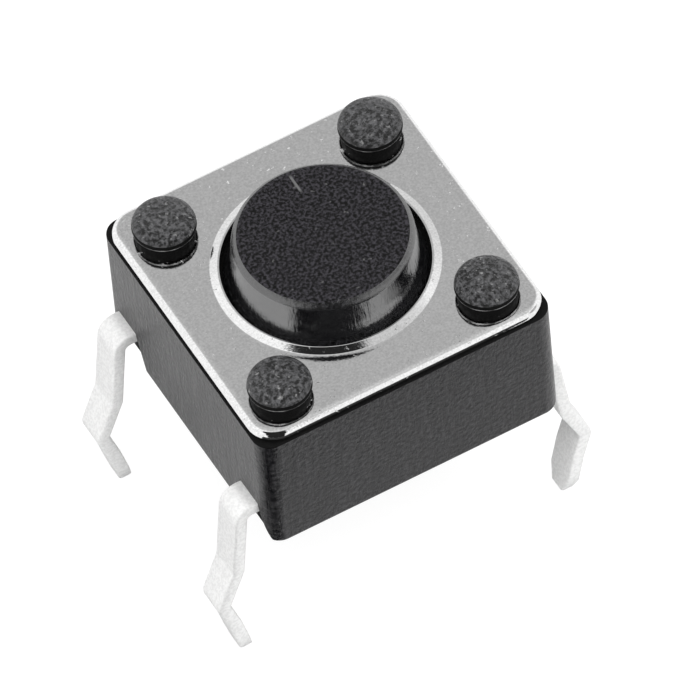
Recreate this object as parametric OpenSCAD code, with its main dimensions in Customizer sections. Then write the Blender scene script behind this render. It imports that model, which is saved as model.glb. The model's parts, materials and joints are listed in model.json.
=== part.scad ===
// Tactile push button switch, 6 mm square, with four through-hole legs.
// Origin: centre of the housing's underside, which lies on the board. +Z is up,
// +X and -X are the sides that the legs leave, and all sizes are in millimetres.

/* [Housing] */
// Width and depth of the square housing
body_w = 6.0; // [4.8:0.1:7.5]
// Height of the housing, from the board to the underside of the cover
body_h = 2.82; // [2.3:0.02:3.4]
// Radius of the upright corners
corner_r = 0.35; // [0.2:0.05:0.6]
// Rounding of the bottom edges
foot_r = 0.1; // [0.05:0.05:0.25]
// Wall left between the well and each post
post_wall = 0.22; // [0.12:0.02:0.4]
// Depth of the relief behind each leg
relief_depth = 0.15; // [0.08:0.01:0.25]
// How far each side of a relief spreads at the board
relief_spread = 0.33; // [0:0.01:0.35]
// Distance from the top of the lead frames down to the top of a relief
relief_drop = 0.03; // [0:0.01:0.1]
// Diameter of the core pin holes under the lead frames
core_d = 0.4; // [0.2:0.05:0.5]
// Distance of the core pin holes from the middle
core_x = 1.2; // [0.8:0.1:1.6]

/* [Posts] */
// Distance from a post's centre to the two walls beside it
post_inset = 0.88; // [0.7:0.02:1.1]
// Diameter of the posts
post_d = 0.75; // [0.5:0.05:0.9]
// Diameter of the staked heads
head_d = 1.18; // [0.95:0.01:1.3]
// Height of the staked heads above the cover
head_h = 0.5; // [0.45:0.01:0.6]
// Height of the narrower neck under each head
neck_h = 0.18; // [0.1:0.01:0.2]
// How far the neck stands in from the head
neck_in = 0.04; // [0.01:0.01:0.08]
// Rounding of the heads' upper edges
head_round_r = 0.24; // [0.1:0.01:0.24]

/* [Cover] */
// Thickness of the cover plate
cover_t = 0.2; // [0.18:0.01:0.4]
// How far the cover stands in from the housing's walls
cover_inset = 0.03; // [0.02:0.005:0.15]
// Corner radius of the cover plate
cover_corner_r = 0.6; // [0.4:0.05:1.0]
// Rounding of the cover's outer edges
cover_edge_r = 0.14; // [0.03:0.01:0.15]
// Width of the raised lip round the hole for the button
lip_w = 0.13; // [0.05:0.01:0.2]
// Height of the lip
lip_h = 0.05; // [0.01:0.01:0.08]
// Width of the flat land along the lip's top
lip_land = 0.03; // [0.01:0.01:0.05]

/* [Button] */
// Height of the button above the cover
button_rise = 0.86; // [0.5:0.02:3]
// Width of the flange that the cover holds down
flange_lip = 0.55; // [0.3:0.01:0.7]
// Thickness of the flange
flange_t = 0.5; // [0.3:0.05:0.6]
// How much the button narrows from the cover to its top, on the radius
button_taper = 0.12; // [0:0.01:0.2]
// Rounding of the button's top edge
button_edge_r = 0.18; // [0.05:0.01:0.3]
// Radius of the boss that bears on the dome
boss_r = 0.6; // [0.3:0.05:0.9]
// Rounding of the boss's lower edge
boss_edge_r = 0.15; // [0.05:0.01:0.25]
// Width of the two lugs that stop the button turning
lug_w = 0.6; // [0.4:0.05:0.9]
// How far the lugs stand out from the flange
lug_reach = 0.25; // [0.1:0.01:0.3]
// Travel of the button
travel = 0.25; // [0.15:0.01:0.35]

/* [Contacts] */
// Thickness of the snap dome
dome_t = 0.08; // [0.05:0.01:0.12]
// Height of the pads that carry the dome's rim above the well floor
pad_h = 0.25; // [0.15:0.01:0.35]
// Angle of the pads from the X axis
pad_angle = 38; // [30:1:50]
// Half the angle that a pad spans
pad_turn = 7; // [4:0.5:9]
// How far a pad reaches in from the dome's rim
pad_reach = 0.4; // [0.2:0.05:0.6]
// Height of the centre contact above the well floor
contact_h = 0.36; // [0.3:0.01:0.4]
// Radius of the centre contact
contact_r = 0.42; // [0.3:0.01:0.6]
// Land round the centre contact
contact_land = 0.15; // [0.1:0.01:0.3]
// Width of the tongue to the centre contact
tongue_w = 0.8; // [0.5:0.05:1.0]
// Width of the tab to the ring of the outer contact
tab_w = 1.6; // [1.0:0.1:2.4]

/* [Legs] */
// Distance from each row of legs to the plain wall beside it
lead_inset = 0.75; // [0.6:0.01:1.0]
// Width of the legs
lead_w = 0.65; // [0.5:0.01:0.8]
// Thickness of the lead frames
lead_t = 0.25; // [0.18:0.01:0.3]
// Height of the lead frames' underside above the board
lead_z = 0.6; // [0.45:0.01:0.75]
// Inside radius of the bend at the top of each leg
bend_r = 0.12; // [0.05:0.01:0.2]
// Straight run from a relief's back wall to the bend
root_run = 0.135; // [0.12:0.005:0.3]
// How far the legs were formed off centre, towards -X
leg_offset = 0.12; // [0:0.01:0.12]
// Outward lean of the upright part, in degrees
leg_lean = 6.5; // [0:0.1:8]
// Depth of the first kink below the board
upright_drop = 0.84; // [0.6:0.05:1.5]
// Height of the kink's outward slope
kink_drop = 0.88; // [0.5:0.02:1.2]
// How far the kink goes outward
kink_out = 0.365; // [0.1:0.005:0.5]
// Height of the kink's return slope
return_drop = 0.6; // [0.2:0.02:0.8]
// How far the return slope comes back in
return_in = 0.2; // [0.05:0.01:0.3]
// Inside radius of the kinks
kink_r = 0.07; // [0.02:0.01:0.12]
// Height of the straight tip
tip_drop = 0.88; // [0.5:0.05:1.5]
// How far the tip comes in
tip_in = 0.21; // [0:0.005:0.3]
// Height of the taper at the end of the tip
tip_taper_h = 0.3; // [0.1:0.05:0.5]
// How much each side of the tip narrows
tip_taper = 0.13; // [0:0.01:0.2]

/* [Clearances] */
// Gap between the button and the hole in the cover
hole_gap = 0.155; // [0.05:0.005:0.2]
// Gap between the well and the flange, and between the well and the dome
well_gap = 0.1; // [0.05:0.01:0.15]
// Gap between the cover and the top of the flange
flange_play = 0.02; // [0.01:0.01:0.05]
// Gap between the boss and the dome at rest
boss_gap = 0.03; // [0.01:0.01:0.05]
// Gap round the lugs in their keyways
lug_gap = 0.06; // [0.03:0.01:0.1]
// Gap between a post and its hole in the cover
post_gap = 0.045; // [0.02:0.005:0.08]
// Gap between the moulding and the edges of the lead frames
mould_gap = 0.01; // [0.005:0.005:0.03]

/* [Hidden] */
$fn = 96;
cut = 0.5; // how far a cutting tool runs past the face that it cuts
bend_steps = 12; // flats in the bend at the top of a leg
kink_steps = 4; // flats in each kink

housing_colour = "#29292b";
button_colour = "#3a3a3d";
steel_colour = "#b4b6b8";
dome_colour = "#c9c3b2";
tin_colour = "#dcdddd";

// Plan
half_w = body_w / 2;
post_xy = half_w - post_inset;
well_r = norm([post_xy, post_xy]) - post_d / 2 - post_wall;
flange_r = well_r - well_gap;
dome_r = well_r - well_gap;
button_r = flange_r - flange_lip;
hole_r = button_r + hole_gap;
lead_y = half_w - lead_inset;
cover_w = body_w - 2 * cover_inset;

// Heights
floor_z = lead_z + lead_t;
rim_z = floor_z + pad_h;
contact_z = floor_z + contact_h;
boss_z = contact_z + dome_t + travel;
dome_top_z = boss_z - boss_gap;
cover_z = body_h + cover_t;
flange_z = body_h - flange_play - flange_t;
key_z = flange_z - travel - well_gap;
button_z = cover_z + button_rise;

// Snap dome: a cap of a sphere
dome_h = dome_top_z - dome_t - rim_z;
dome_in_r = (dome_r * dome_r + dome_h * dome_h) / (2 * dome_h);

// Pads under the dome's rim, on a ring of the outer lead frame
pad_out_r = dome_r + well_gap / 2;
pad_in_r = dome_r - pad_reach;
ring_turn = pad_angle - 2 * pad_turn; // angle below the X axis at which the ring ends

// Side profile of a leg, as [distance from the middle, height]
relief_x = half_w - relief_depth;
bend_x = relief_x + root_run;
bend_z = lead_z - bend_r;
bend_out_r = bend_r + lead_t;
bend_end = [bend_x, bend_z] + bend_out_r * [cos(leg_lean), sin(leg_lean)];
kink_1_z = -upright_drop;
kink_1 = [bend_end[0] + (bend_end[1] - kink_1_z) * tan(leg_lean), kink_1_z];
kink_2 = kink_1 + [kink_out, -kink_drop];
kink_3 = kink_2 + [-return_in, -return_drop];
tip_end = kink_3 + [-tip_in, -tip_drop];
tip_width_on_level = lead_t / cos(atan(tip_in / tip_drop));

function unit(v) = v / norm(v);
function turned(v) = [v[1], -v[0]];

// The corner that path a, b, c has once it is moved sideways by d
function mitre(a, b, c, d) =
    let (n1 = turned(unit(b - a)), n2 = turned(unit(c - b)))
    b + (n1 + n2) * d / (1 + n1 * n2);

function reversed(list) = [for (i = [len(list) - 1:-1:0]) list[i]];

// Points that round corner b of path a, b, c to radius r
function softened(a, b, c, r) =
    let (to_a = unit(a - b), to_c = unit(c - b), half = acos(to_a * to_c) / 2,
        centre = b + unit(to_a + to_c) * r / sin(half),
        first = b + to_a * r / tan(half) - centre, last = b + to_c * r / tan(half) - centre)
    [for (i = [0:kink_steps]) centre + r * unit(first + (last - first) * i / kink_steps)];

// A path from its first corner on, with each inner corner rounded to the radius given for it
function softened_path(path, radii) =
    [for (i = [1:len(path) - 2]) each softened(path[i - 1], path[i], path[i + 1], radii[i - 1]),
        path[len(path) - 1]];

// Quarter of a disc, in the first quadrant
module quarter_disc(r) {
    intersection() {
        circle(r);
        square(r);
    }
}

// Outer band of a block's section, with its upper corner rounded
module band_section(depth, height, edge_r) {
    square([depth - edge_r, height]);
    translate([depth - edge_r, 0]) square([edge_r, height - edge_r]);
    translate([depth - edge_r, height - edge_r]) quarter_disc(edge_r);
}

// Square block with round upright corners and rounded upper edges
module soft_block(width, height, round_r, edge_r) {
    core = width - 2 * round_r;
    translate([-core / 2, -core / 2, 0]) cube([core, core, height]);
    for (turn = [0:90:270]) {
        rotate([0, 0, turn]) translate([core / 2, core / 2, 0]) {
            rotate_extrude(angle = 90) band_section(round_r, height, edge_r);
            rotate([90, 0, 0]) linear_extrude(core) band_section(round_r, height, edge_r);
        }
    }
}

module at_posts() {
    for (x = [-1, 1], y = [-1, 1]) translate([x * post_xy, y * post_xy, 0]) children();
}

// Post that passes through the cover, staked over into a round head with a neck
module staked_post() {
    head_r = head_d / 2;
    translate([0, 0, body_h - cut]) cylinder(h = cover_t + cut, d = post_d);
    translate([0, 0, cover_z]) rotate_extrude() {
        square([head_r - neck_in, neck_h]);
        translate([0, neck_h]) band_section(head_r, head_h - neck_h, head_round_r);
    }
}

// Part of a ring between two angles less than half a turn apart
module ring_sector(in_r, out_r, from, to) {
    reach = 2 * out_r;
    middle = (from + to) / 2;
    intersection() {
        difference() {
            circle(out_r);
            circle(in_r);
        }
        polygon([[0, 0], reach * [cos(from), sin(from)],
            reach * [cos(middle), sin(middle)], reach * [cos(to), sin(to)]]);
    }
}

// Plan of the strip that joins two legs
module strip_plan(side, grow) {
    length = 2 * (half_w + cut);
    translate([-length / 2, side * lead_y - lead_w / 2 - grow]) square([length, lead_w + 2 * grow]);
}

// Plan of the centre contact's tongue, from its strip to the middle
module tongue_plan(grow) {
    translate([-tongue_w / 2 - grow, 0]) square([tongue_w + 2 * grow, lead_y]);
    circle(contact_r + contact_land + grow);
}

// Plan of the outer contact's ring, on the -Y side of the well
module ring_plan(grow) {
    end_turn = ring_turn - grow * 180 / (PI * dome_r);
    ring_sector(pad_in_r - grow, pad_out_r + grow, 180 + end_turn, 360 - end_turn);
    translate([-tab_w / 2 - grow, -lead_y]) square([tab_w + 2 * grow, lead_y - pad_in_r]);
}

// Relief in a wall, behind and below a leg
module relief() {
    top = floor_z - relief_drop;
    half_top = lead_w / 2;
    half_low = half_top + relief_spread;
    rotate([90, 0, 90])
        linear_extrude(relief_depth + cut)
            polygon([[-half_top, top], [half_top, top], [half_low, 0],
                [half_low, -cut], [-half_low, -cut], [-half_low, 0]]);
}

module housing_cuts() {
    translate([0, 0, floor_z]) cylinder(h = body_h, r = well_r);
    key_length = 2 * (flange_r + lug_reach + lug_gap);
    key_w = lug_w + 2 * lug_gap;
    translate([-key_length / 2, -key_w / 2, key_z]) cube([key_length, key_w, body_h]);
    translate([0, 0, lead_z]) linear_extrude(lead_t + mould_gap) {
        for (side = [-1, 1]) strip_plan(side, mould_gap);
        tongue_plan(mould_gap);
        ring_plan(mould_gap);
    }
    for (x = [-1, 1], y = [-1, 1]) {
        translate([x * core_x, y * lead_y, -cut]) cylinder(h = cut + lead_z + lead_t / 2, d = core_d);
    }
    for (turn = [0, 180], y = [-1, 1]) rotate([0, 0, turn]) translate([relief_x, y * lead_y, 0]) relief();
}

module housing() {
    color(housing_colour) {
        difference() {
            translate([0, 0, body_h]) mirror([0, 0, 1]) soft_block(body_w, body_h, corner_r, foot_r);
            housing_cuts();
        }
        for (angle = [pad_angle, 180 - pad_angle])
            translate([0, 0, floor_z - cut / 2])
                linear_extrude(pad_h + cut / 2)
                    ring_sector(pad_in_r, well_r + post_wall / 2, angle - pad_turn, angle + pad_turn);
        at_posts() staked_post();
    }
}

module cover_plate() {
    color(steel_colour) translate([0, 0, body_h]) difference() {
        union() {
            soft_block(cover_w, cover_t, cover_corner_r, cover_edge_r);
            translate([0, 0, cover_t]) cylinder(h = lip_h, r1 = hole_r + lip_w, r2 = hole_r + lip_land);
        }
        translate([0, 0, -cut]) cylinder(h = cover_t + 2 * cut, r = hole_r);
        at_posts() translate([0, 0, -cut]) cylinder(h = cover_t + 2 * cut, d = post_d + 2 * post_gap);
    }
}

module button() {
    top_r = button_r - button_taper;
    lean = atan(button_taper / button_rise);
    round_x = top_r - button_edge_r * (1 / cos(lean) - tan(lean));
    round_at = [round_x, button_z - button_edge_r];
    touch = round_at + button_edge_r * [cos(lean), sin(lean)];
    beyond = round_at + (button_edge_r + cut) * [cos(lean), sin(lean)];
    flat_r = boss_r - boss_edge_r;
    side_z = boss_z + boss_edge_r;
    color(button_colour) {
        rotate_extrude() {
            translate([0, boss_z]) square([flat_r, flange_z - boss_z]);
            translate([flat_r, side_z]) square([boss_edge_r, flange_z - side_z]);
            translate([flat_r, side_z]) mirror([0, 1]) quarter_disc(boss_edge_r);
            translate([0, flange_z]) square([flange_r, flange_t]);
            polygon([[0, flange_z + flange_t], [button_r, flange_z + flange_t], [button_r, cover_z],
                touch, round_at, [round_x, button_z], [0, button_z]]);
            intersection() {
                translate(round_at) circle(button_edge_r);
                polygon([round_at, [round_x, button_z + cut], beyond + [0, cut], beyond]);
            }
        }
        lug_length = 2 * (flange_r + lug_reach);
        translate([-lug_length / 2, -lug_w / 2, flange_z]) cube([lug_length, lug_w, flange_t]);
    }
}

module snap_dome() {
    color(dome_colour) rotate_extrude() intersection() {
        difference() {
            translate([0, dome_top_z - dome_t - dome_in_r]) circle(dome_in_r + dome_t, $fn = 360);
            translate([0, dome_top_z - dome_t - dome_in_r]) circle(dome_in_r, $fn = 360);
        }
        translate([0, rim_z]) square([dome_r, dome_h + 2 * dome_t]);
    }
}

// Side outline of one leg, from a short root inside the housing's wall
module leg_outline() {
    root_x = relief_x - root_run - leg_offset;
    bend_angles = [for (i = [0:bend_steps]) 90 - (90 - leg_lean) * i / bend_steps];
    bend_centre = [bend_x, bend_z];
    outer_bend = [for (a = bend_angles) bend_centre + bend_out_r * [cos(a), sin(a)]];
    inner_bend = [for (a = bend_angles) bend_centre + bend_r * [cos(a), sin(a)]];
    outer = [bend_end, kink_1, kink_2, kink_3, tip_end];
    inner = [inner_bend[bend_steps], for (i = [1:3]) mitre(outer[i - 1], outer[i], outer[i + 1], lead_t),
        tip_end - [tip_width_on_level, 0]];
    wide_r = kink_r + lead_t;
    outer_side = concat(outer_bend, softened_path(outer, [kink_r, wide_r, kink_r]));
    inner_side = concat(inner_bend, softened_path(inner, [wide_r, kink_r, wide_r]));
    polygon(concat([[root_x, floor_z]], outer_side, reversed(inner_side), [[root_x, lead_z]]));
}

// Front outline of one leg, narrowed at the tip
module leg_front() {
    half = lead_w / 2;
    tip_half = half - tip_taper;
    top = floor_z + cut;
    low = tip_end[1];
    polygon([[-half, top], [half, top], [half, low + tip_taper_h], [tip_half, low],
        [-tip_half, low], [-half, low + tip_taper_h]]);
}

module leg() {
    intersection() {
        rotate([90, 0, 0]) linear_extrude(2 * lead_w, center = true) leg_outline();
        rotate([90, 0, 90]) linear_extrude(body_w) leg_front();
    }
}

// Strip with its two legs, on one side of the switch
module leaded_strip(side) {
    translate([0, side * lead_y, 0]) {
        translate([-relief_x, -lead_w / 2, lead_z]) cube([2 * relief_x, lead_w, lead_t]);
        translate([-leg_offset, 0, 0]) {
            leg();
            mirror([1, 0, 0]) leg();
        }
    }
}

module centre_contact_frame() {
    dimple_r = contact_r - lead_t / 2;
    color(tin_colour) {
        leaded_strip(1);
        difference() {
            union() {
                translate([0, 0, lead_z]) linear_extrude(lead_t) tongue_plan(0);
                translate([0, 0, lead_z]) cylinder(h = lead_t + contact_h, r = contact_r);
            }
            translate([0, 0, lead_z - cut]) cylinder(h = contact_h + cut, r = dimple_r);
        }
    }
}

module outer_contact_frame() {
    color(tin_colour) {
        leaded_strip(-1);
        translate([0, 0, lead_z]) linear_extrude(lead_t) ring_plan(0);
        for (angle = [180 + pad_angle, 360 - pad_angle])
            translate([0, 0, lead_z])
                linear_extrude(lead_t + pad_h)
                    ring_sector(pad_in_r, pad_out_r, angle - pad_turn, angle + pad_turn);
    }
}

housing();
cover_plate();
button();
snap_dome();
centre_contact_frame();
outer_contact_frame();
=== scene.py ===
"""Looks of a tactile push button switch, 6 mm square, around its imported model.

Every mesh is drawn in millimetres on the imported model's own axes, and is scaled to metres when
its piece is made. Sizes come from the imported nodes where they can, and the rest are named below.
"""

import json
import math

import bmesh
import bpy
from mathutils import Matrix, Vector


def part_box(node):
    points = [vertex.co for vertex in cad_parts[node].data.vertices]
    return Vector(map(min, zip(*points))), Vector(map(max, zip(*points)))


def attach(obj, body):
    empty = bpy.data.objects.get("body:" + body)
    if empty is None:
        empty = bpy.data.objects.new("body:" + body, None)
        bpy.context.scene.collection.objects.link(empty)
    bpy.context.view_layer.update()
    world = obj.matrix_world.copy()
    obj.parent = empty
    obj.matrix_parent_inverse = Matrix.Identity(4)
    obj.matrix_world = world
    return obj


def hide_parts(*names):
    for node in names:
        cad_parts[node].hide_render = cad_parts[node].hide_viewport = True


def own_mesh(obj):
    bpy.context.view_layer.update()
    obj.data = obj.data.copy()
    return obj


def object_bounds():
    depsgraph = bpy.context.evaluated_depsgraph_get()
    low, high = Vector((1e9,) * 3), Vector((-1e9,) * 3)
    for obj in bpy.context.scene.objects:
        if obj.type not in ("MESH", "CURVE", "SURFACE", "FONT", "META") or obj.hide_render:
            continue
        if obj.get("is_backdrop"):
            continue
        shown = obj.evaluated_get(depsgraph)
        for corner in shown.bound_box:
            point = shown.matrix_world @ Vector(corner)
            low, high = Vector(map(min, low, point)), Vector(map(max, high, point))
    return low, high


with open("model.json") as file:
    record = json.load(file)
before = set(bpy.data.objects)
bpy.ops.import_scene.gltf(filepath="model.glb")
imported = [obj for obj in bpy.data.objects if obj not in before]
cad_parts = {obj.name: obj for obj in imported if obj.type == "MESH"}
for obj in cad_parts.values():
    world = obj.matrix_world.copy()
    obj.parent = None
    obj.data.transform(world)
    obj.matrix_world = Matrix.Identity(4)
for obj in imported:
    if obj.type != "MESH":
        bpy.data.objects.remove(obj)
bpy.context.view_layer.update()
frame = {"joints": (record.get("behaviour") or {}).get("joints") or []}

MM = 0.001


def box_mm(node):
    """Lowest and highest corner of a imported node, in millimetres."""
    return [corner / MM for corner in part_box(node)]


# ---- Sizes, in millimetres ------------------------------------------------------------------

housing_high = box_mm("housing")[1]
cover_low, cover_high = box_mm("cover_plate")
button_low, button_high = box_mm("button")
dome_high = box_mm("snap_dome")[1]
centre_high = box_mm("centre_contact_frame")[1]
outer_low, outer_high = box_mm("outer_contact_frame")

# Housing
CORNER_R = 0.35
BACK_CORNER_R = 0.62
FOOT_R = 0.1
BRIM_R = 0.03
WELL_GAP = 0.1
KEY_GAP = 0.06
RELIEF_DEPTH = 0.15
RELIEF_SPREAD = 0.33
RELIEF_DROP = 0.03
CORE_R = 0.2
CORE_X = 1.2

# Posts and their staked heads. At squareness 1 a head would be half an ellipse in section.
POST_INSET = 0.88
POST_R = 0.375
POST_GAP = 0.045
HEAD_R = 0.59
NECK_H = 0.18
NECK_IN = 0.04
SKIRT_R = 0.04
HEAD_SQUARENESS = 0.72

# Cover. Its outer edge rolls over between two angles, in degrees up from the plate's plane. The
# rings that support the lip's slope stand LIP_SUPPORT bends away from its ends.
COVER_CORNER_R = 0.54
COVER_EDGE_R = 0.125
COVER_DROOP = 0.008
ROLL_START = 85
ROLL_END = 4
COVER_MARGIN = 0.32
UNDERCUT = 0.05
LIP_W = 0.18
LIP_H = 0.05
LIP_LAND = 0.03
LIP_BEND = 0.004
LIP_SUPPORT = 3
LIP_APRON = 0.08

# Button. The rings across its flat top are shares of the top's radius.
FLANGE_LIP = 0.55
FLANGE_T = 0.5
FLANGE_PLAY = 0.02
FLANGE_EDGE_R = 0.03
HOLE_GAP = 0.155
BUTTON_TAPER = 0.12
BUTTON_EDGE_R = 0.18
FLARE = 0.085
FLARE_H = 0.5
TOP_RINGS = (0.85, 0.6, 0.3)
BOSS_R = 0.6
BOSS_EDGE_R = 0.15
LUG_W = 0.6

# Scratch on the button's top, which fades out at its ends and between two distances aside
SCRATCH_X = 0.127
SCRATCH_Y = 1.23
SCRATCH_LENGTH = 0.5
SCRATCH_END = 0.1
SCRATCH_EDGE = (0.03, 0.015)

# Contacts
DOME_T = 0.08
PAD_ANGLE = 38
PAD_TURN = 7
PAD_REACH = 0.4
PAD_H = 0.25
CONTACT_R = 0.42
CONTACT_EDGE_R = 0.06
CONTACT_LAND = 0.15
TONGUE_W = 0.8
TAB_W = 1.6
MOULD_GAP = 0.01

# Strips and legs. The kink's steps are (distance out, height).
LEAD_W = 0.65
LEAD_T = 0.25
LEAD_EDGE_R = 0.045
BEND_R = 0.12
ROOT_RUN = 0.135
LEG_LEAN = 6.5
UPRIGHT_DROP = 0.84
KINK = (0.365, -0.88)
KINK_RETURN = (-0.2, -0.6)
TIP = (-0.21, -0.88)
KINK_R = 0.07
TIP_TAPER = 0.13
TIP_TAPER_H = 0.3
RING_SPACING = 0.15

# Where one material gives way to the next: in degrees from level, or as a part of a unit normal
TOP_GRAIN_TURN = 24
RIM_TURN = 72
HEAD_RISE = 0.22
SKIRT_RISE = -0.7
SIDEWAYS = 0.1

# Steps round full turns, corners, edges and bends
TURN_STEPS = 192
CONTACT_STEPS = 96
POST_STEPS = 72
RING_STEPS = 60
CORE_STEPS = 32
DOME_STEPS = 24
CORNER_STEPS = 16
CROWN_STEPS = 16
RIM_STEPS = 16
BEND_STEPS = 14
ROLL_STEPS = 12
EDGE_STEPS = 8
FLARE_STEPS = 8
PAD_STEPS = 6
KINK_STEPS = 6
CONTACT_EDGE_STEPS = 5
MARGIN_STEPS = 4
SKIRT_STEPS = 4
FINE_STEPS = 3

# How far cutting shapes reach past what they cut, and how deep joined shapes sink into each other
OVERCUT = 1.0
OVERLAP = 0.1

# Distances that count as none, and the angle from which an edge stays sharp
NEARLY = 0.01
WELD = 0.0002
SHARP_ANGLE = 32

half_w = housing_high.x
cover_half = cover_high.x
cover_z = cover_high.z - LIP_H
seat_z = cover_low.z
post_xy = half_w - POST_INSET
flange_r = button_high.y
well_r = flange_r + WELL_GAP
button_r = flange_r - FLANGE_LIP
hole_r = button_r + HOLE_GAP
rim_z = outer_high.z
floor_z = rim_z - PAD_H
lead_z = floor_z - LEAD_T
lead_y = -outer_low.y - LEAD_W / 2
leg_offset = -(outer_low.x + outer_high.x) / 2
relief_x = half_w - RELIEF_DEPTH
travel = max(frame["joints"][0]["range_m"]) / MM


# ---- Drawing --------------------------------------------------------------------------------

def arc(centre, radius, start, end, steps):
    """Points of an arc in a plane, between two angles in degrees."""
    x, y = centre
    angles = [math.radians(start + (end - start) * i / steps) for i in range(steps + 1)]
    return [Vector((x + radius * math.cos(a), y + radius * math.sin(a))) for a in angles]


def circle(radius, z, steps, centre=(0, 0)):
    """Points of a level circle at height z."""
    return [Vector((*point, z)) for point in arc(centre, radius, 0, 360, steps)[:-1]]


def rounded_square(half, radius, z, back_radius=None):
    """Outline of a square with round corners. The one at +X +Y may have its own radius."""
    outline = []
    for quarter in range(4):
        turn = Matrix.Rotation(math.radians(90 * quarter), 3, "Z")
        r = back_radius if back_radius and quarter == 0 else radius
        corner = arc((half - r, half - r), r, 0, 90, CORNER_STEPS)
        outline += [turn @ Vector((x, y, z)) for x, y in corner]
    return outline


def bridge(bm, low, high):
    """Faces between two rings of as many points, or between a ring and a single point."""
    count = max(len(low), len(high))
    for i in range(count):
        j = (i + 1) % count
        corners = (low[i % len(low)], low[j % len(low)], high[j % len(high)], high[i % len(high)])
        bm.faces.new(list(dict.fromkeys(corners)))


def skin(bm, rings):
    """Rings of points, each joined to the next one."""
    loops = [[bm.verts.new(point) for point in ring] for ring in rings]
    for low, high in zip(loops, loops[1:]):
        bridge(bm, low, high)
    return loops


def cap(bm, *loops):
    """Flat faces inside an outer loop and round the holes in it."""
    edges = []
    for loop in loops:
        for a, b in zip(loop, loop[1:] + loop[:1]):
            edges.append(bm.edges.get((a, b)) or bm.edges.new((a, b)))
    bmesh.ops.triangle_fill(bm, use_beauty=True, edges=edges)


def lathe(bm, profile, steps=TURN_STEPS, centre=(0, 0)):
    """A profile of (radius, height) points turned round an upright axis."""
    rings = []
    for radius, z in profile:
        rings.append(circle(radius, z, steps, centre) if radius > 0 else [Vector((*centre, z))])
    skin(bm, rings)


def prism(bm, outline, low, high, place=Matrix.Identity(4)):
    """A flat outline drawn out from low to high, then placed."""
    loops = skin(bm, [[place @ Vector((x, y, z)) for x, y in outline] for z in (low, high)])
    cap(bm, loops[0])
    cap(bm, loops[1])


def block(bm, low, high):
    """A box between two corners."""
    outline = [(low[0], low[1]), (high[0], low[1]), (high[0], high[1]), (low[0], high[1])]
    prism(bm, outline, low[2], high[2])


def shape(draw, *values):
    """A new object that holds what one drawing function makes."""
    bm = bmesh.new()
    draw(bm, *values)
    bmesh.ops.recalc_face_normals(bm, faces=bm.faces)
    mesh = bpy.data.meshes.new(draw.__name__)
    bm.to_mesh(mesh)
    bm.free()
    made = bpy.data.objects.new(draw.__name__, mesh)
    bpy.context.scene.collection.objects.link(made)
    return made


def combine(base, tool, how):
    """Joins a tool shape to a base shape, or cuts it away, and uses the tool up."""
    change = base.modifiers.new(how, "BOOLEAN")
    change.operation = how
    change.solver = "EXACT"
    change.object = tool
    graph = bpy.context.evaluated_depsgraph_get()
    mesh = bpy.data.meshes.new_from_object(base.evaluated_get(graph))
    base.modifiers.clear()
    base.data = mesh
    bpy.data.objects.remove(tool)


def clean(mesh):
    """Drops the slivers that joining and cutting leave."""
    bm = bmesh.new()
    bm.from_mesh(mesh)
    bmesh.ops.remove_doubles(bm, verts=bm.verts, dist=WELD)
    bmesh.ops.dissolve_degenerate(bm, edges=bm.edges, dist=WELD)
    bm.to_mesh(mesh)
    bm.free()


def make_piece(made, name, body, materials, sort=None):
    """Scales a finished shape to metres and parents it to the empty of one body."""
    clean(made.data)
    made.name = name
    made.data.name = name
    for material in materials:
        made.data.materials.append(material)
    if sort:
        for face in made.data.polygons:
            face.material_index = sort(face.center, face.normal)
    made.data.transform(Matrix.Scale(MM, 4))
    made.data.shade_smooth()
    made.data.set_sharp_from_angle(angle=math.radians(SHARP_ANGLE))
    normals = made.modifiers.new("normals", "WEIGHTED_NORMAL")
    normals.keep_sharp = True
    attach(made, body)
    return made


# ---- Housing --------------------------------------------------------------------------------

def draw_block(bm):
    """Moulded block: round foot, upright sides, and a small round brim under the cover."""
    foot = arc((0, 0), FOOT_R, 90, 0, EDGE_STEPS)
    brim = arc((0, 0), BRIM_R, 0, 90, EDGE_STEPS)
    section = [(FOOT_R - p.x, FOOT_R - p.y) for p in foot]
    section += [(BRIM_R - p.x, seat_z - BRIM_R + p.y) for p in brim]
    rings = []
    for inset, z in section:
        rings.append(rounded_square(half_w - inset, CORNER_R - inset, z, BACK_CORNER_R - inset))
    loops = skin(bm, rings)
    cap(bm, loops[0])
    cap(bm, loops[-1])


def draw_well(bm):
    """Round well that the button's flange and the dome work in."""
    top = seat_z + OVERCUT
    lathe(bm, [(0, floor_z), (well_r, floor_z), (well_r, top), (0, top)])


def draw_keyways(bm):
    """Grooves beside the well that the button's lugs slide in."""
    reach = button_high.x + KEY_GAP
    low = flange_underside() - travel - WELL_GAP
    half = LUG_W / 2 + KEY_GAP
    block(bm, (-reach, -half, low), (reach, half, seat_z + OVERCUT))


def draw_reliefs(bm):
    """Shallow reliefs in the side walls, which widen downwards from each leg's root."""
    top = floor_z - RELIEF_DROP
    half_top = LEAD_W / 2
    half_low = half_top + RELIEF_SPREAD
    outline = [(-half_top, top), (half_top, top), (half_low, 0)]
    outline += [(half_low, -OVERCUT), (-half_low, -OVERCUT), (-half_low, 0)]
    for side in (-1, 1):
        for row in (-1, 1):
            place = Matrix(((0, 0, side, 0), (1, 0, 0, row * lead_y), (0, 1, 0, 0), (0, 0, 0, 1)))
            prism(bm, outline, relief_x, half_w + OVERCUT, place)


def draw_strip_slots(bm):
    """Slots right through the block for the two strips of the lead frames."""
    for row in (-1, 1):
        half = LEAD_W / 2 + MOULD_GAP
        low = (-half_w - OVERCUT, row * lead_y - half, lead_z)
        block(bm, low, (half_w + OVERCUT, row * lead_y + half, floor_z + MOULD_GAP))


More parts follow.
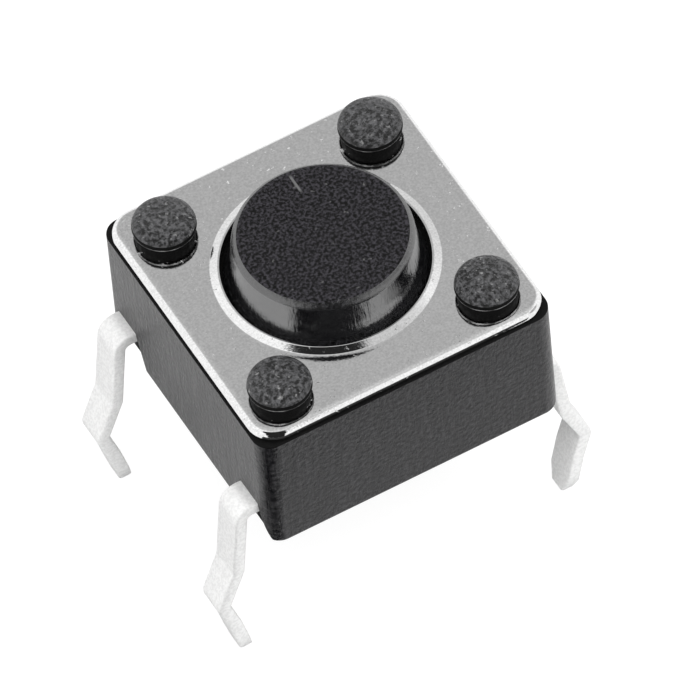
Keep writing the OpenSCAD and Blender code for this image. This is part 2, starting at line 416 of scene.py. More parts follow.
def draw_core_holes(bm):
    """Round holes in the underside, where pins of the mould held the strips."""
    top = lead_z + LEAD_T / 2
    for x in (-CORE_X, CORE_X):
        for y in (-lead_y, lead_y):
            profile = [(0, -OVERCUT), (CORE_R, -OVERCUT), (CORE_R, top), (0, top)]
            lathe(bm, profile, CORE_STEPS, (x, y))


def draw_posts(bm):
    """Posts through the cover, each staked over into a low round head on a narrower neck."""
    top = housing_high.z
    neck_z = cover_z + NECK_H
    neck_r = HEAD_R - NECK_IN
    shoulder_z = neck_z + SKIRT_R
    root_z = seat_z - OVERLAP
    crown = []
    for i in range(CROWN_STEPS + 1):
        angle = math.radians(90 * i / CROWN_STEPS)
        out, rise = math.sin(angle) ** HEAD_SQUARENESS, math.cos(angle) ** HEAD_SQUARENESS
        crown.append((HEAD_R * out, shoulder_z + (top - shoulder_z) * rise))
    skirt = arc((HEAD_R - SKIRT_R, shoulder_z), SKIRT_R, 0, -90, SKIRT_STEPS)[1:]
    profile = crown + [(p.x, p.y) for p in skirt] + [(neck_r, neck_z), (neck_r, cover_z)]
    profile += [(POST_R, cover_z), (POST_R, root_z), (0, root_z)]
    for x in (-post_xy, post_xy):
        for y in (-post_xy, post_xy):
            lathe(bm, profile, POST_STEPS, (x, y))


def draw_dome_pads(bm):
    """Two moulded pads that carry the dome's rim on the side of the centre contact."""
    for middle in (PAD_ANGLE, 180 - PAD_ANGLE):
        prism(bm, pad_outline(middle, well_r + OVERLAP / 2), floor_z - OVERLAP, rim_z)


def pad_outline(middle, out_r):
    """Outline of a pad under the dome's rim: a short piece of a ring round angle middle."""
    start, end = middle - PAD_TURN, middle + PAD_TURN
    outside = arc((0, 0), out_r, start, end, PAD_STEPS)
    return outside + arc((0, 0), flange_r - PAD_REACH, end, start, PAD_STEPS)


# The housing's materials, in their order on the piece
# The third material is painted shade, the fourth a painted highlight on the heads' skirts
WALL, HEAD, PAINTED_SHADE, LIT_SKIRT = range(4)


def make_housing():
    """The moulded block with everything cut into it and joined to it."""
    made = shape(draw_block)
    for draw in (draw_well, draw_keyways, draw_reliefs, draw_strip_slots, draw_core_holes):
        combine(made, shape(draw), "DIFFERENCE")
    combine(made, shape(draw_dome_pads), "UNION")
    combine(made, shape(draw_posts), "UNION")
    materials = [wall_plastic(), head_plastic(), shade_painted_plastic(), skirt_highlight_plastic()]
    piece = make_piece(made, "moulded_housing", "base", materials, housing_material)
    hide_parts("housing")


def housing_material(centre, normal):
    """Which of the housing's materials a face has: grained heads whose steep sides take painted
    shade and whose skirt takes a painted highlight, painted shade on the necks, brim and reliefs,
    and walls for the rest."""
    if centre.z > cover_z + NECK_H + SKIRT_R:
        return HEAD if normal.z > HEAD_RISE else PAINTED_SHADE
    if centre.z > cover_z + NECK_H and normal.z > SKIRT_RISE:
        return LIT_SKIRT
    if centre.z > seat_z - BRIM_R:
        return PAINTED_SHADE
    back = abs(abs(centre.x) - relief_x) < NEARLY
    cheek = abs(normal.x) < SIDEWAYS and abs(centre.x) > relief_x
    on_side = 0 < centre.z < lead_z and abs(centre.y) < half_w - NEARLY
    return PAINTED_SHADE if (back or cheek) and on_side else WALL


# ---- Cover ----------------------------------------------------------------------------------

def draw_cover(bm):
    """Stamped plate with rolled outer edges, a raised lip round its hole, and four post holes."""
    under = [(UNDERCUT / 2, seat_z + UNDERCUT), (UNDERCUT, seat_z)]
    edge = []
    for inset, z in edge_section() + under:
        edge.append(rounded_square(cover_half - inset, COVER_CORNER_R - inset, z))
    outer = skin(bm, edge)
    below = [(0, seat_z + UNDERCUT), (UNDERCUT, seat_z)]
    hole = skin(bm, [circle(hole_r + out, z, TURN_STEPS) for out, z in lip_section() + below])
    posts = []
    for x in (-post_xy, post_xy):
        for y in (-post_xy, post_xy):
            levels = [(POST_R + POST_GAP, cover_z), (POST_R + POST_GAP, seat_z)]
            posts.append(skin(bm, [circle(radius, z, POST_STEPS, (x, y)) for radius, z in levels]))
    for level in (0, -1):
        cap(bm, *[loops[level] for loops in [outer, hole] + posts])


def edge_section():
    """Section of the outer edge, as (inset, height): a slightly drooping margin and the roll."""
    turn = arc((0, 0), COVER_EDGE_R, ROLL_START, ROLL_END, ROLL_STEPS)
    roll = [(turn[-1].x - p.x, cover_z - COVER_DROOP + p.y - turn[0].y) for p in turn]
    margin = []
    for i in range(MARGIN_STEPS):
        share = i / MARGIN_STEPS
        inset = COVER_MARGIN + share * (roll[0][0] - COVER_MARGIN)
        margin.append((inset, cover_z - COVER_DROOP * share ** 2))
    return margin + roll


def lip_section():
    """Section of the lip, as (distance out from the hole, height), from the plate to the hole.

    Rings close to its two bends keep the smoothed slope straight.
    """
    slope = Vector((LIP_LAND - LIP_W, LIP_H)).normalized() * LIP_BEND
    level = Vector((LIP_BEND, 0))
    foot = Vector((LIP_W, cover_z))
    crest = Vector((LIP_LAND, cover_high.z))
    bend = [foot + Vector((LIP_APRON, 0)), foot + level, foot + slope, foot + slope * LIP_SUPPORT]
    bend += [crest - slope * LIP_SUPPORT, crest - slope, crest - level]
    turn = arc((0, 0), LIP_BEND, 90, 0, FINE_STEPS)
    inner = [(LIP_BEND - p.x, cover_high.z - LIP_BEND + p.y) for p in turn]
    return [(p.x, p.y) for p in bend] + inner[1:]


def make_cover():
    """The stamped plate."""
    piece = make_piece(shape(draw_cover), "stamped_cover", "base", [cover_steel()])
    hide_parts("cover_plate")


# ---- Button ---------------------------------------------------------------------------------

def button_profile():
    """Half section of the button, from the middle of its underside to the middle of its top."""
    boss_z = button_low.z
    top_z = button_high.z
    low = flange_underside()
    high = low + FLANGE_T
    edge_x = flange_r - FLANGE_EDGE_R
    rim = button_rim()
    profile = [Vector((0, boss_z))]
    profile += arc((BOSS_R - BOSS_EDGE_R, boss_z + BOSS_EDGE_R), BOSS_EDGE_R, -90, 0, EDGE_STEPS)
    profile += [Vector((BOSS_R, low)), Vector((edge_x, low))]
    profile += arc((edge_x, low + FLANGE_EDGE_R), FLANGE_EDGE_R, -90, 0, FINE_STEPS)[1:]
    profile += arc((edge_x, high - FLANGE_EDGE_R), FLANGE_EDGE_R, 0, 90, FINE_STEPS)
    profile += button_side(high) + rim
    profile += [Vector((rim[-1].x * share, top_z)) for share in TOP_RINGS]
    profile.append(Vector((0, top_z)))
    return [(p.x, p.y) for p in profile]


def button_side(foot_z):
    """Section of the tapered side, which flares out a little at its foot."""
    side = []
    for i in range(FLARE_STEPS + 1):
        z = foot_z + FLARE_H * i / FLARE_STEPS
        taper = BUTTON_TAPER * (z - cover_z) / (button_high.z - cover_z)
        side.append(Vector((button_r - taper + FLARE * (1 - i / FLARE_STEPS) ** 2, z)))
    return side


def button_rim():
    """Section of the button's round upper edge, from the side to the top."""
    top_z = button_high.z
    lean = math.atan(BUTTON_TAPER / (top_z - cover_z))
    centre_x = button_r - BUTTON_TAPER - BUTTON_EDGE_R * (1 / math.cos(lean) - math.tan(lean))
    centre = (centre_x, top_z - BUTTON_EDGE_R)
    return arc(centre, BUTTON_EDGE_R, math.degrees(lean), 90, RIM_STEPS)


def flange_underside():
    """Height of the flange's underside: the flange hangs just below the cover."""
    return seat_z - FLANGE_PLAY - FLANGE_T


def draw_button(bm):
    """The round part of the button: boss, flange, side and top."""
    lathe(bm, button_profile())


def draw_lugs(bm):
    """Lugs on the flange that keep the button from turning."""
    reach = button_high.x
    low = flange_underside()
    block(bm, (-reach, -LUG_W / 2, low), (reach, LUG_W / 2, low + FLANGE_T))


# The button's materials, in their order on the piece
SIDE, TOP, HIDDEN, RIM = range(4)


def make_button():
    """The round plunger with its flange and lugs."""
    made = shape(draw_button)
    combine(made, shape(draw_lugs), "UNION")
    materials = [button_side_plastic(), button_top_plastic(), shade_painted_plastic(), button_rim_plastic()]
    piece = make_piece(made, "push_button", "button", materials, button_material)
    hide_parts("button")


def button_material(centre, normal):
    """Which of the button's materials a face has: side, grained top, hidden flange or rim."""
    if centre.z < seat_z:
        return HIDDEN
    if normal.z > math.cos(math.radians(TOP_GRAIN_TURN)):
        return TOP
    return RIM if normal.z > math.cos(math.radians(RIM_TURN)) else SIDE


# ---- Contacts -------------------------------------------------------------------------------

def draw_dome(bm):
    """Sprung disc: a shallow cap of a sphere, with a closed rim."""
    rise = dome_high.z - DOME_T - rim_z
    inner_r = (flange_r ** 2 + rise ** 2) / (2 * rise)
    centre_z = dome_high.z - DOME_T - inner_r
    profile = []
    for radius, order in ((inner_r, 1), (inner_r + DOME_T, -1)):
        half = math.degrees(math.asin(flange_r / radius))
        side = arc((0, centre_z), radius, 90, 90 - half, DOME_STEPS)
        profile += [(p.x if i else 0, p.y) for i, p in enumerate(side)][::order]
    lathe(bm, profile, CONTACT_STEPS)


def make_dome():
    """The sprung disc, with a mesh of its own."""
    piece = make_piece(shape(draw_dome), "snap_disc", "base", [dome_steel()])
    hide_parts("snap_dome")
    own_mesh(piece)


# ---- Lead frames ----------------------------------------------------------------------------

def mitre(a, b, c, distance):
    """The corner that path a, b, c has once it is moved sideways."""
    first = (b - a).normalized()
    second = (c - b).normalized()
    sideways = Vector((first.y, -first.x)) + Vector((second.y, -second.x))
    return b + sideways * distance / (1 + first.dot(second))


def softened(a, b, c, radius):
    """Points that round corner b of path a, b, c."""
    to_a = (a - b).normalized()
    to_c = (c - b).normalized()
    half = to_a.angle(to_c) / 2
    centre = b + (to_a + to_c).normalized() * radius / math.sin(half)
    first = b + to_a * radius / math.tan(half) - centre
    last = b + to_c * radius / math.tan(half) - centre
    shares = [i / KINK_STEPS for i in range(KINK_STEPS + 1)]
    return [centre + radius * first.lerp(last, share).normalized() for share in shares]


def leg_line():
    """Middle line of one leg, as (distance, height), from the strip down to the tip."""
    lean = math.radians(LEG_LEAN)
    bend = (relief_x + ROOT_RUN, lead_z - BEND_R)
    across = Vector((math.cos(lean), math.sin(lean)))
    bend_end = Vector(bend) + (BEND_R + LEAD_T) * across
    run = (bend_end.y + UPRIGHT_DROP) * math.tan(lean)
    corners = [bend_end, Vector((bend_end.x + run, -UPRIGHT_DROP))]
    for step in (KINK, KINK_RETURN, TIP):
        corners.append(corners[-1] + Vector(step))
    tip_slant = math.cos(math.atan2(TIP[0], TIP[1]))
    line = arc(bend, BEND_R + LEAD_T / 2, 90, LEG_LEAN, BEND_STEPS)
    middle = [bend_end - across * LEAD_T / 2]
    middle += [mitre(*corners[i - 1:i + 2], LEAD_T / 2) for i in (1, 2, 3)]
    middle.append(corners[4] + Vector((LEAD_T / 2 / tip_slant, 0)))
    for i in (1, 2, 3):
        line += softened(*middle[i - 1:i + 2], KINK_R + LEAD_T / 2)
    return line + [middle[4]]


def strip_line():
    """Middle line of a whole strip, from the tip of the +X leg to the tip of the -X leg."""
    leg = leg_line()
    right = [Vector((p.x - leg_offset, p.y)) for p in leg]
    left = [Vector((-p.x - leg_offset, p.y)) for p in leg]
    return right[::-1] + left


def strip_section(width, thickness, edge):
    """Cross-section of the stamped strip, with its edges slightly rounded."""
    outline = []
    for quarter, (u, v) in enumerate(((1, 1), (-1, 1), (-1, -1), (1, -1))):
        centre = (u * (width / 2 - edge), v * (thickness / 2 - edge))
        outline += arc(centre, edge, 90 * quarter, 90 * quarter + 90, FINE_STEPS)
    return outline


def resampled(line, spacing):
    """The same line with extra points on its long straight runs."""
    points = [line[0]]
    for a, b in zip(line, line[1:]):
        parts = max(1, round((b - a).length / spacing))
        points += [a.lerp(b, i / parts) for i in range(1, parts + 1)]
    return points


def draw_strip(bm, row):
    """Strip with its two legs, swept along its middle line in one length."""
    line = resampled(strip_line(), RING_SPACING)
    low = line[0].y
    rings = []
    for i, point in enumerate(line):
        before, after = line[max(i - 1, 0)], line[min(i + 1, len(line) - 1)]
        along = (after - before).normalized()
        across = Vector((-along.y, along.x))
        if i in (0, len(line) - 1):
            across = Vector((1 / across.x, 0))
        at_tip = min(max(1 - (point.y - low) / TIP_TAPER_H, 0), 1)
        section = strip_section(LEAD_W - 2 * TIP_TAPER * at_tip, LEAD_T, LEAD_EDGE_R)
        rings.append([Vector((point.x + across.x * v, row * lead_y + u, point.y + across.y * v))
                      for u, v in section])
    loops = skin(bm, rings)
    cap(bm, loops[0])
    cap(bm, loops[-1])


def draw_tongue(bm):
    """Tongue from the centre strip to the middle of the well."""
    half = TONGUE_W / 2
    block(bm, (-half, 0, lead_z), (half, lead_y, floor_z))


def draw_contact(bm):
    """Raised centre contact on its round land, hollow underneath."""
    land = CONTACT_R + CONTACT_LAND
    top = centre_high.z
    hollow = CONTACT_R - LEAD_T / 2
    edge = (CONTACT_R - CONTACT_EDGE_R, top - CONTACT_EDGE_R)
    crown = arc(edge, CONTACT_EDGE_R, 90, 0, CONTACT_EDGE_STEPS)
    profile = [(0, top)] + [(p.x, p.y) for p in crown]
    profile += [(CONTACT_R, floor_z), (land, floor_z), (land, lead_z)]
    profile += [(hollow, lead_z), (hollow, top - LEAD_T), (0, top - LEAD_T)]
    lathe(bm, profile, CONTACT_STEPS)


def draw_contact_hollow(bm):
    """The hollow under the contact, which also cuts the tongue."""
    hollow = CONTACT_R - LEAD_T / 2
    roof = centre_high.z - LEAD_T
    low = lead_z - OVERCUT
    lathe(bm, [(0, low), (hollow, low), (hollow, roof), (0, roof)], CONTACT_STEPS)


def draw_ring(bm):
    """Ring of the outer contact, round the -Y side of the well."""
    in_r = flange_r - PAD_REACH
    out_r = flange_r + WELL_GAP / 2
    end = PAD_ANGLE - 2 * PAD_TURN
    outline = arc((0, 0), out_r, 180 + end, 360 - end, RING_STEPS)
    outline += arc((0, 0), in_r, 360 - end, 180 + end, RING_STEPS)
    prism(bm, outline, lead_z, floor_z)


def draw_tab(bm):
    """Tab between the outer strip and its ring."""
    half = TAB_W / 2
    inner = flange_r - PAD_REACH + OVERLAP
    block(bm, (-half, -lead_y, lead_z), (half, -inner, floor_z))


def draw_contact_pads(bm):
    """Two raised pads of the ring that carry the dome's rim."""
    for middle in (180 + PAD_ANGLE, 360 - PAD_ANGLE):
        outline = pad_outline(middle, flange_r + WELL_GAP / 2)
        prism(bm, outline, lead_z + OVERLAP / 2, rim_z)


def make_centre_frame():
    """The +Y strip with its legs, tongue and raised centre contact."""
    made = shape(draw_strip, 1)
    combine(made, shape(draw_tongue), "UNION")
    combine(made, shape(draw_contact), "UNION")
    combine(made, shape(draw_contact_hollow), "DIFFERENCE")
    piece = make_piece(made, "centre_lead_frame", "base", [tin_plating()])
    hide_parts("centre_contact_frame")


def make_outer_frame():
    """The -Y strip with its legs, tab, ring and pads."""
    made = shape(draw_strip, -1)
    for draw in (draw_tab, draw_ring, draw_contact_pads):
        combine(made, shape(draw), "UNION")
    piece = make_piece(made, "outer_lead_frame", "base", [tin_plating()])
    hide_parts("outer_contact_frame")


# ---- Material nodes -------------------------------------------------------------------------

def add(tree, kind, inputs=(), **settings):
    """A new node. Each input is a value, or the socket that feeds it."""
    node = tree.nodes.new(kind)
    for name, value in settings.items():
        setattr(node, name, value)
    for name, value in dict(inputs).items():
        if isinstance(value, bpy.types.NodeSocket):
            tree.links.new(value, node.inputs[name])
        else:
            node.inputs[name].default_value = value
    return node


def new_material(name, **values):
    """A material whose shader has these values, with its tree and shader node."""
    material = bpy.data.materials.new(name)
    material.use_nodes = True
    tree = material.node_tree
    shader = tree.nodes["Principled BSDF"]
    for key, value in values.items():
        shader.inputs[key.replace("_", " ")].default_value = value
    return material, tree, shader


def millimetres(tree, scale=(1, 1, 1)):
    """Object coordinates in millimetres, stretched by scale."""
    coords = add(tree, "ShaderNodeTexCoord").outputs["Object"]
    sizes = tuple(s / MM for s in scale)
    return add(tree, "ShaderNodeMapping", {"Vector": coords, "Scale": sizes}).outputs["Vector"]


def noise(tree, where, scale, detail=2.0, roughness=0.5):
    """Cloudy noise between 0 and 1."""
    inputs = {"Vector": where, "Scale": scale, "Detail": detail, "Roughness": roughness}
    return add(tree, "ShaderNodeTexNoise", inputs).outputs["Fac"]


def ramp(tree, value, low, high, to_low=0.0, to_high=1.0):
    """The value stretched so that low and high become to_low and to_high, and kept between."""
    inputs = {"Value": value, "From Min": low, "From Max": high}
    inputs.update({"To Min": to_low, "To Max": to_high})
    return add(tree, "ShaderNodeMapRange", inputs).outputs["Result"]


def maths(tree, operation, first, second=0.0):
    """The result of a sum of one or two values."""
    return add(tree, "ShaderNodeMath", {0: first, 1: second}, operation=operation).outputs[0]


def mix_colour(tree, factor, first, second):
    """The first colour where the factor is 0, the second where it is 1."""
    node = add(tree, "ShaderNodeMix", {0: factor, 6: first, 7: second}, data_type="RGBA")
    return node.outputs[2]


def bump(tree, height, depth_mm, normal=None):
    """A normal that makes heights of 0 to 1 look depth_mm deep, over another one if given."""
    inputs = {"Height": height, "Distance": depth_mm * MM, "Strength": 1.0}
    if normal:
        inputs["Normal"] = normal
    return add(tree, "ShaderNodeBump", inputs).outputs["Normal"]


def grey(value):
    """A colour without hue."""
    return (value, value, value, 1.0)


# ---- Materials ------------------------------------------------------------------------------

def wall_plastic():
    """Black moulding, mottled in faint upright streaks from the mould."""
    material, tree, shader = new_material("wall_plastic", IOR=1.44)
    streaks = noise(tree, millimetres(tree, (9, 9, 0.8)), scale=1.0, detail=4.0, roughness=0.6)
    grain = noise(tree, millimetres(tree), scale=11.0, detail=4.0, roughness=0.6)
    mottle = maths(tree, "MULTIPLY", ramp(tree, streaks, 0.3, 0.7), ramp(tree, grain, 0.40, 0.62))
    colour = mix_colour(tree, mottle, (0.002, 0.002, 0.003, 1), (0.040, 0.039, 0.042, 1))
    tree.links.new(colour, shader.inputs["Base Color"])
    tree.links.new(ramp(tree, streaks, 0.3, 0.7, 0.22, 0.36), shader.inputs["Roughness"])
    normal = bump(tree, streaks, depth_mm=0.012)
    tree.links.new(bump(tree, grain, 0.018, normal), shader.inputs["Normal"])
    return material


def head_plastic():
    """The same moulding where it was melted over: rougher, with a coarse pale grain."""
    material, tree, shader = new_material("head_plastic", IOR=1.6)
    where = millimetres(tree)
    grain = noise(tree, where, scale=13.0, detail=4.0, roughness=0.65)
    dots = noise(tree, where, scale=10.0, detail=3.0, roughness=0.6)
    colour = mix_colour(tree, ramp(tree, grain, 0.42, 0.62), grey(0.0), (0.115, 0.115, 0.12, 1))
    colour = mix_colour(tree, ramp(tree, dots, 0.62, 0.70), colour, grey(0.28))
    tree.links.new(colour, shader.inputs["Base Color"])
    tree.links.new(ramp(tree, grain, 0.3, 0.7, 0.28, 0.48), shader.inputs["Roughness"])
    tree.links.new(bump(tree, grain, depth_mm=0.12), shader.inputs["Normal"])
    return material


def skirt_highlight_plastic():
    """Pale painted highlight, in patches, on the heads' rounded lower rim."""
    material, tree, shader = new_material("skirt_highlight_plastic", Roughness=0.6)
    # Pale patches over dark plastic: painted highlight where the rim catches light
    highlight_patches = ramp(tree, noise(tree, millimetres(tree), scale=5.0, detail=3.0), 0.4, 0.65)
    tree.links.new(mix_colour(tree, highlight_patches, grey(0.08), grey(0.65)), shader.inputs["Base Color"])
    return material


def shade_painted_plastic():
    """Near-black, dull faces that carry painted shade: reliefs, necks, brim, the heads' steep sides
    and the hidden flange.
    """
    material, tree, shader = new_material("shade_painted_plastic", Specular_IOR_Level=0.15)
    grain = noise(tree, millimetres(tree), scale=12.0, detail=4.0)
    # Near-black colour: painted shade for faces that lie in shade
    colour = mix_colour(tree, grain, grey(0.001), grey(0.008))
    tree.links.new(colour, shader.inputs["Base Color"])
    tree.links.new(ramp(tree, grain, 0.3, 0.7, 0.6, 0.9), shader.inputs["Roughness"])
    return material


def button_side_plastic():
    """Glossy side of the button, with fine upright drawing marks."""
    material, tree, shader = new_material("button_side_plastic", IOR=2.9)
    upright = millimetres(tree, (1, 1, 0.15))
    marks = noise(tree, upright, scale=16.0, detail=4.0, roughness=0.6)
    cloud = noise(tree, millimetres(tree), scale=6.0, detail=3.0)
    colour = mix_colour(tree, cloud, (0.003, 0.003, 0.004, 1), (0.010, 0.010, 0.011, 1))
    tree.links.new(colour, shader.inputs["Base Color"])
    tree.links.new(ramp(tree, cloud, 0.3, 0.7, 0.06, 0.16), shader.inputs["Roughness"])
    tree.links.new(bump(tree, marks, depth_mm=0.009), shader.inputs["Normal"])
    return material


def button_rim_plastic():
    """Half-dull rounding between the button's side and its top."""
    material, tree, shader = new_material("button_rim_plastic", IOR=2.3)
    grain = noise(tree, millimetres(tree), scale=14.0, detail=4.0, roughness=0.7)
    pale = ramp(tree, grain, 0.42, 0.60)
    colour = mix_colour(tree, pale, grey(0.001), (0.018, 0.018, 0.020, 1))
    tree.links.new(colour, shader.inputs["Base Color"])
    tree.links.new(ramp(tree, grain, 0.3, 0.7, 0.16, 0.30), shader.inputs["Roughness"])
    tree.links.new(bump(tree, grain, depth_mm=0.01), shader.inputs["Normal"])
    return material


def button_top_plastic():
    """Grained top of the button, with a scatter of paler specks and one scratch."""
    material, tree, shader = new_material("button_top_plastic", IOR=1.3)
    where = millimetres(tree)
    grain = noise(tree, where, scale=17.0, detail=3.0, roughness=0.6)
    dots = noise(tree, where, scale=8.0, detail=3.0, roughness=0.6)
    pale = ramp(tree, grain, 0.43, 0.61)
    colour = mix_colour(tree, pale, grey(0.0), (0.036, 0.034, 0.040, 1))
    colour = mix_colour(tree, ramp(tree, dots, 0.66, 0.74), colour, grey(0.10))
    colour = mix_colour(tree, scratch(tree), colour, grey(0.12))
    tree.links.new(colour, shader.inputs["Base Color"])
    tree.links.new(ramp(tree, grain, 0.3, 0.7, 0.45, 0.6), shader.inputs["Roughness"])
    tree.links.new(bump(tree, grain, depth_mm=0.014), shader.inputs["Normal"])
    return material


def scratch(tree):
    """1 along one short scratch at the back of the button's top, and 0 elsewhere."""
    spot = add(tree, "ShaderNodeSeparateXYZ", {"Vector": millimetres(tree)}).outputs
    aside = maths(tree, "ABSOLUTE", maths(tree, "SUBTRACT", spot["X"], SCRATCH_X))
    along = maths(tree, "ABSOLUTE", maths(tree, "SUBTRACT", spot["Y"], SCRATCH_Y))
    within = ramp(tree, along, SCRATCH_LENGTH / 2, SCRATCH_LENGTH / 2 - SCRATCH_END)
    return maths(tree, "MULTIPLY", ramp(tree, aside, *SCRATCH_EDGE), within)


def cover_steel():
    """Plated steel sheet: nearly a mirror, with a fine grain and a few pale specks."""
    material, tree, shader = new_material("cover_steel", Metallic=1.0)
    where = millimetres(tree)
    grain = noise(tree, where, scale=26.0, detail=3.0)
    wave = noise(tree, where, scale=0.8)
    specks = noise(tree, where, scale=9.0, detail=5.0, roughness=0.65)
    specks = ramp(tree, specks, 0.65, 0.72)
    colour = mix_colour(tree, ramp(tree, grain, 0.35, 0.65), grey(0.80), grey(0.97))
    colour = mix_colour(tree, specks, colour, grey(0.98))
    tree.links.new(colour, shader.inputs["Base Color"])
    tree.links.new(ramp(tree, grain, 0.3, 0.7, 0.03, 0.07), shader.inputs["Roughness"])
    normal = bump(tree, wave, depth_mm=0.01)
    normal = bump(tree, specks, 0.01, normal)
    tree.links.new(bump(tree, grain, 0.0006, normal), shader.inputs["Normal"])
    return material


def tin_plating():
    """Pale, half-dull tin plating on the stamped lead frames."""
    material, tree, shader = new_material("tin_plating", Metallic=0.2)
    cloud = noise(tree, millimetres(tree), scale=5.0, detail=4.0)
    grain = noise(tree, millimetres(tree), scale=18.0, detail=3.0, roughness=0.6)
    pale = ramp(tree, grain, 0.4, 0.6)
    colour = mix_colour(tree, pale, (0.78, 0.78, 0.775, 1), (0.90, 0.90, 0.895, 1))
    tree.links.new(colour, shader.inputs["Base Color"])
    tree.links.new(ramp(tree, cloud, 0.3, 0.7, 0.3, 0.42), shader.inputs["Roughness"])
    tree.links.new(bump(tree, grain, depth_mm=0.001), shader.inputs["Normal"])
    return material


def dome_steel():
    """Rolled spring steel of the snap disc."""
    material, tree, shader = new_material("dome_steel", Metallic=1.0)
    lines = noise(tree, millimetres(tree, (1, 40, 1)), scale=1.0, detail=4.0)
    colour = mix_colour(tree, lines, (0.58, 0.56, 0.51, 1), (0.70, 0.67, 0.60, 1))
    tree.links.new(colour, shader.inputs["Base Color"])
    tree.links.new(ramp(tree, lines, 0.3, 0.7, 0.2, 0.32), shader.inputs["Roughness"])
    return material


# ---- Studio ---------------------------------------------------------------------------------

# Camera: angles in degrees, centre and width of what it sees in millimetres, reach in metres
VIEW_AZIMUTH = -24.8
VIEW_ELEVATION = 52.4
VIEW_ROLL = -5.76
VIEW_CENTRE = Vector((0.0, -0.65, 1.16))
VIEW_WIDTH = 12.545
LENS = 1000.0
SENSOR = 36.0
NEAREST_M = 0.01
FURTHEST_M = 5.0

# What shiny faces mirror, in degrees round from +X and up: greyer parts of the room, which fade
# out between two angles from their middle, and the dark shape of the camera on its stand, with
# one angle each. Everything else takes its light from the plain grey fill.
ROOM_GREYS = ((62, 44, 13, 33, 0.45), (0, 76, 8, 24, 0.62), (-30, 34, 12, 20, 0.45))
DARK_SHAPES = ((232, 74, 21), (246, 58, 24), (246, 44, 28), (246, 15, 28))
DARK_FADE = 2
DARK_GREY = 0.02
FILL_GREY = 0.75

# Floor, which glows nearly white where it is seen, and a dark card on it whose disc is a painted
# shadow of the object, seen only in reflections
FLOOR_HALF = 300.0
FLOOR_DROP = 0.01
FLOOR_GREY = 0.66
FLOOR_SEEN_GREY = 0.25
FLOOR_SEEN_GLOW = 0.86
FLOOR_MIRRORED_GLOW = 0.05
CARD_DROP = 0.005
DISC_CENTRE = (-5.9, -5.3)
DISC_R = 2.9
DISC_STEPS = 64
FAN_NEAR = 9
FAN_FAR = 290
FAN_START = 204
FAN_END = 296
FAN_STEPS = 32


def view_axes():
    """The camera's right, up and back directions."""
    azimuth = math.radians(VIEW_AZIMUTH)
    elevation = math.radians(VIEW_ELEVATION)
    roll = math.radians(VIEW_ROLL)
    flat = math.cos(elevation)
    back = Vector((math.sin(azimuth) * flat, -math.cos(azimuth) * flat, math.sin(elevation)))
    level = Vector((math.cos(azimuth), math.sin(azimuth), 0))
    upward = back.cross(level)
    right = math.cos(roll) * level + math.sin(roll) * upward
    return right, back.cross(right), back


def make_camera():
    """A far camera with a long lens, at the photograph's viewing angle."""
    right, up, back = view_axes()
    data = bpy.data.cameras.new("camera")
    data.lens = LENS
    data.sensor_width = SENSOR
    data.clip_start = NEAREST_M
    data.clip_end = FURTHEST_M
    camera = bpy.data.objects.new("camera", data)
    distance = VIEW_WIDTH * LENS / SENSOR
    spot = (VIEW_CENTRE + back * distance) * MM
    camera.matrix_world = Matrix.Translation(spot) @ Matrix((right, up, back)).transposed().to_4x4()
    bpy.context.scene.collection.objects.link(camera)
    bpy.context.scene.camera = camera


def seen_directly(tree, *kinds):
    """1 for these kinds of rays, and 0 for all others."""
    rays = add(tree, "ShaderNodeLightPath").outputs
    total = rays[kinds[0]]
    for kind in kinds[1:]:
        total = maths(tree, "MAXIMUM", total, rays[kind])
    return total


def towards(azimuth, elevation):
    """Unit vector at an angle round from +X and an angle up."""
    azimuth, elevation = math.radians(azimuth), math.radians(elevation)
    level = math.cos(elevation)
    return Vector((math.cos(azimuth) * level, math.sin(azimuth) * level, math.sin(elevation)))


def patch(tree, sky, azimuth, elevation, inner, outer, brightness):
    """The sky with a round grey patch that fades out between two angles from its middle."""
    direction = add(tree, "ShaderNodeTexCoord").outputs["Generated"]
    inputs = {0: direction, 1: towards(azimuth, elevation)}
    facing = add(tree, "ShaderNodeVectorMath", inputs, operation="DOT_PRODUCT").outputs["Value"]
    inside = ramp(tree, facing, math.cos(math.radians(outer)), math.cos(math.radians(inner)))
    return mix_colour(tree, inside, sky, grey(brightness))


def make_world():
    """White where it is seen, a plain grey as a light, and a room with a camera where mirrored."""
    world = bpy.data.worlds.new("studio")
    bpy.context.scene.world = world
    world.use_nodes = True
    tree = world.node_tree
    shader = tree.nodes["Background"]
    sky = grey(1.0)
    for azimuth, elevation, inner, outer, brightness in ROOM_GREYS:
        sky = patch(tree, sky, azimuth, elevation, inner, outer, brightness)
    for azimuth, elevation, reach in DARK_SHAPES:
        sky = patch(tree, sky, azimuth, elevation, reach, reach + DARK_FADE, DARK_GREY)
    mirrored = seen_directly(tree, "Is Glossy Ray", "Is Transmission Ray")
    sky = mix_colour(tree, mirrored, grey(FILL_GREY), sky)
    sky = mix_colour(tree, seen_directly(tree, "Is Camera Ray"), sky, grey(1.0))
    tree.links.new(sky, shader.inputs["Color"])


def draw_floor(bm):
    """A wide level square."""
    bmesh.ops.create_grid(bm, x_segments=2, y_segments=2, size=FLOOR_HALF)


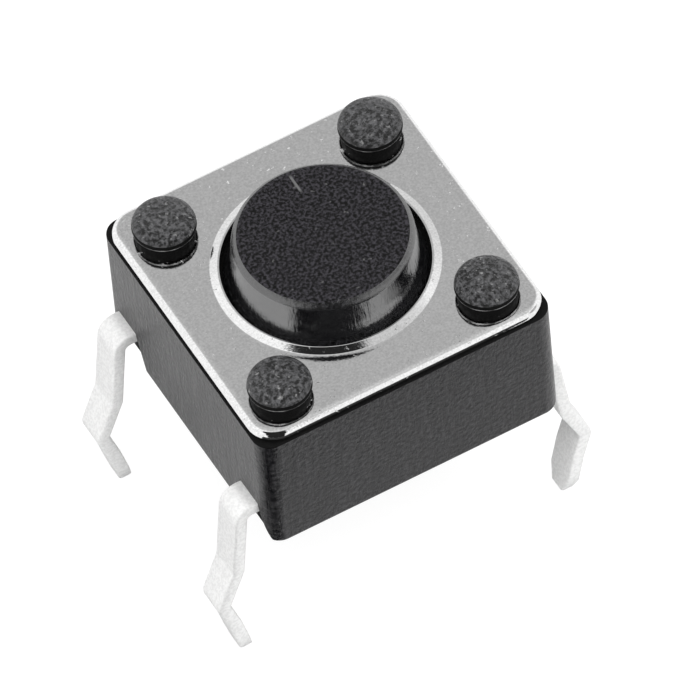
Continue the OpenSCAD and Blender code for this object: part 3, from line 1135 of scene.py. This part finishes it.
def make_floor():
    """Pale floor just below the legs' tips, which looks white and keeps the object's shadow."""
    made = shape(draw_floor)
    made.name = "floor"
    made.data.transform(Matrix.Scale(MM, 4))
    made.location.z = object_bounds()[0].z - FLOOR_DROP * MM
    material = bpy.data.materials.new("pale_floor")
    material.use_nodes = True
    tree = material.node_tree
    tree.nodes.remove(tree.nodes["Principled BSDF"])
    seen = seen_directly(tree, "Is Camera Ray")
    mirrored = seen_directly(tree, "Is Glossy Ray", "Is Transmission Ray")
    colour = mix_colour(tree, seen, grey(FLOOR_GREY), grey(FLOOR_SEEN_GREY))
    plain = add(tree, "ShaderNodeBsdfDiffuse", {"Color": colour})
    seen_glow = maths(tree, "MULTIPLY", seen, FLOOR_SEEN_GLOW)
    mirrored_glow = maths(tree, "MULTIPLY", mirrored, FLOOR_MIRRORED_GLOW)
    strength = maths(tree, "ADD", seen_glow, mirrored_glow)
    glow = add(tree, "ShaderNodeEmission", {"Strength": strength})
    both = add(tree, "ShaderNodeAddShader", {0: plain.outputs["BSDF"], 1: glow.outputs["Emission"]})
    tree.links.new(both.outputs["Shader"], tree.nodes["Material Output"].inputs["Surface"])
    made.data.materials.append(material)
    made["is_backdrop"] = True


def draw_card(bm):
    """A disc close in front of the object, a painted shadow of it, and a fan that reaches far out in
    front of it.
    """
    cap(bm, [bm.verts.new(point) for point in circle(DISC_R, 0, DISC_STEPS, DISC_CENTRE)])
    fan = arc((0, 0), FAN_FAR, FAN_START, FAN_END, FAN_STEPS)
    fan += arc((0, 0), FAN_NEAR, FAN_END, FAN_START, FAN_STEPS)
    cap(bm, [bm.verts.new((x, y, 0)) for x, y in fan])


def make_card():
    """Dark card on the floor in front, out of the camera's sight, that only shiny edges mirror: its
    disc is a painted shadow of the object.
    """
    made = shape(draw_card)
    made.name = "mirrored_shade_card"
    made.data.transform(Matrix.Scale(MM, 4))
    made.location.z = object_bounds()[0].z - CARD_DROP * MM
    made.visible_camera = False
    made.visible_diffuse = False
    made.visible_shadow = False
    made.data.materials.append(new_material("mirrored_shade_black", Base_Color=grey(0.01), Roughness=0.9)[0])
    made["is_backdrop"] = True


def make_lamp(name, azimuth, elevation, strength, spread):
    """A broad soft lamp, far away in the direction given, that leaves no highlight of its own."""
    data = bpy.data.lights.new(name, "SUN")
    data.energy = strength
    data.angle = math.radians(spread)
    lamp = bpy.data.objects.new(name, data)
    lamp.rotation_euler = towards(azimuth, elevation).to_track_quat("Z", "Y").to_euler()
    lamp.visible_glossy = False
    bpy.context.scene.collection.objects.link(lamp)


bpy.context.scene.view_settings.view_transform = "Standard"
make_camera()
make_world()
make_housing()
make_cover()
make_button()
make_dome()
make_centre_frame()
make_outer_frame()
make_floor()
make_card()
make_lamp("key", azimuth=270, elevation=72, strength=2.3, spread=50)
